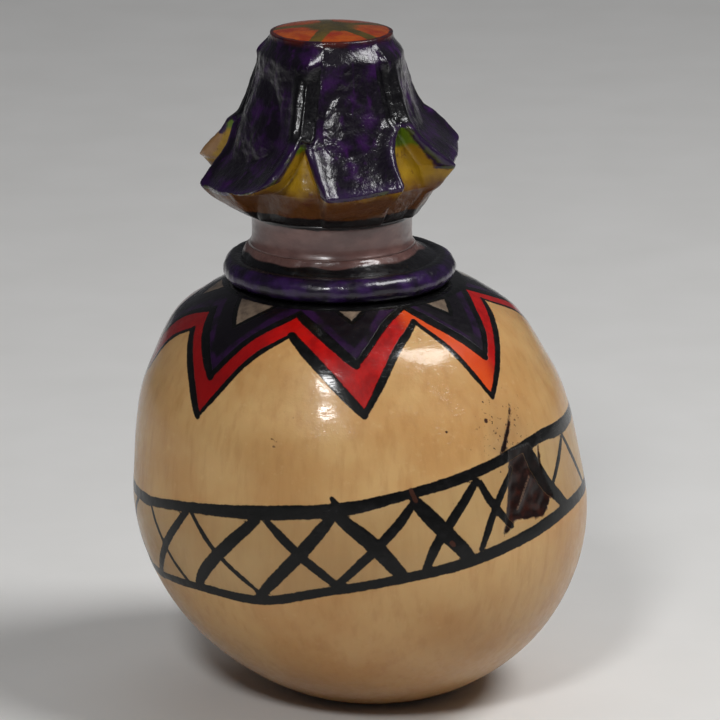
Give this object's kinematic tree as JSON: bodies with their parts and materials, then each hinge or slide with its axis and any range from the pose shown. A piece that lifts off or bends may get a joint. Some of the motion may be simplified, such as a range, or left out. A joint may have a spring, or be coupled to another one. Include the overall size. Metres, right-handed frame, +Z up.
{
  "type": "hand rattle",
  "caption": "Small hand-painted hand rattle: a hollow round palm-nut shell with loose pellets, a beaded collar, a short neck and a carved five-petal flower head.",
  "frame": {"origin": "on the resting plane, under the middle of the nut", "axes": "+Z up through the neck and the flower, front of the painted pattern towards -Y"},
  "size_m": [0.0457, 0.0456, 0.0679],
  "materials": {
    "nut_ivory": "varnished vegetable ivory with painted pattern",
    "collar_paint": "violet and black paint under varnish",
    "neck_paint": "thin mauve-brown paint under varnish",
    "flower_paint": "violet, ochre and orange paint under varnish",
    "pellet_seed": "dry seed coat"
  },
  "bodies": {
    "rattle": {"nut_shell": "nut_ivory", "collar_ring": "collar_paint", "neck_stem": "neck_paint", "flower_head": "flower_paint"},
    "pellet_01": {"pellet_01": "pellet_seed"},
    "pellet_02": {"pellet_02": "pellet_seed"},
    "pellet_03": {"pellet_03": "pellet_seed"},
    "pellet_04": {"pellet_04": "pellet_seed"},
    "pellet_05": {"pellet_05": "pellet_seed"},
    "pellet_06": {"pellet_06": "pellet_seed"},
    "pellet_07": {"pellet_07": "pellet_seed"},
    "pellet_08": {"pellet_08": "pellet_seed"},
    "pellet_09": {"pellet_09": "pellet_seed"},
    "pellet_10": {"pellet_10": "pellet_seed"},
    "pellet_11": {"pellet_11": "pellet_seed"},
    "pellet_12": {"pellet_12": "pellet_seed"},
    "pellet_13": {"pellet_13": "pellet_seed"},
    "pellet_14": {"pellet_14": "pellet_seed"},
    "pellet_15": {"pellet_15": "pellet_seed"},
    "pellet_16": {"pellet_16": "pellet_seed"}
  },
  "joints": [
    {"name": "pellet_01_bounce", "type": "slide", "parent": "rattle", "child": "pellet_01", "axis": [0, 0, 1], "range_m": [0, 0.0283]},
    {"name": "pellet_02_bounce", "type": "slide", "parent": "rattle", "child": "pellet_02", "axis": [0, 0, 1], "range_m": [0, 0.0273]},
    {"name": "pellet_03_bounce", "type": "slide", "parent": "rattle", "child": "pellet_03", "axis": [0, 0, 1], "range_m": [0, 0.0273]},
    {"name": "pellet_04_bounce", "type": "slide", "parent": "rattle", "child": "pellet_04", "axis": [0, 0, 1], "range_m": [0, 0.0273]},
    {"name": "pellet_05_bounce", "type": "slide", "parent": "rattle", "child": "pellet_05", "axis": [0, 0, 1], "range_m": [0, 0.0273]},
    {"name": "pellet_06_bounce", "type": "slide", "parent": "rattle", "child": "pellet_06", "axis": [0, 0, 1], "range_m": [0, 0.0273]},
    {"name": "pellet_07_bounce", "type": "slide", "parent": "rattle", "child": "pellet_07", "axis": [0, 0, 1], "range_m": [0, 0.0228]},
    {"name": "pellet_08_bounce", "type": "slide", "parent": "rattle", "child": "pellet_08", "axis": [0, 0, 1], "range_m": [0, 0.0228]},
    {"name": "pellet_09_bounce", "type": "slide", "parent": "rattle", "child": "pellet_09", "axis": [0, 0, 1], "range_m": [0, 0.0228]},
    {"name": "pellet_10_bounce", "type": "slide", "parent": "rattle", "child": "pellet_10", "axis": [0, 0, 1], "range_m": [0, 0.0228]},
    {"name": "pellet_11_bounce", "type": "slide", "parent": "rattle", "child": "pellet_11", "axis": [0, 0, 1], "range_m": [0, 0.0228]},
    {"name": "pellet_12_bounce", "type": "slide", "parent": "rattle", "child": "pellet_12", "axis": [0, 0, 1], "range_m": [0, 0.0228]},
    {"name": "pellet_13_bounce", "type": "slide", "parent": "rattle", "child": "pellet_13", "axis": [0, 0, 1], "range_m": [0, 0.0228]},
    {"name": "pellet_14_bounce", "type": "slide", "parent": "rattle", "child": "pellet_14", "axis": [0, 0, 1], "range_m": [0, 0.0228]},
    {"name": "pellet_15_bounce", "type": "slide", "parent": "rattle", "child": "pellet_15", "axis": [0, 0, 1], "range_m": [0, 0.0228]},
    {"name": "pellet_16_bounce", "type": "slide", "parent": "rattle", "child": "pellet_16", "axis": [0, 0, 1], "range_m": [0, 0.0228]}
  ]
}
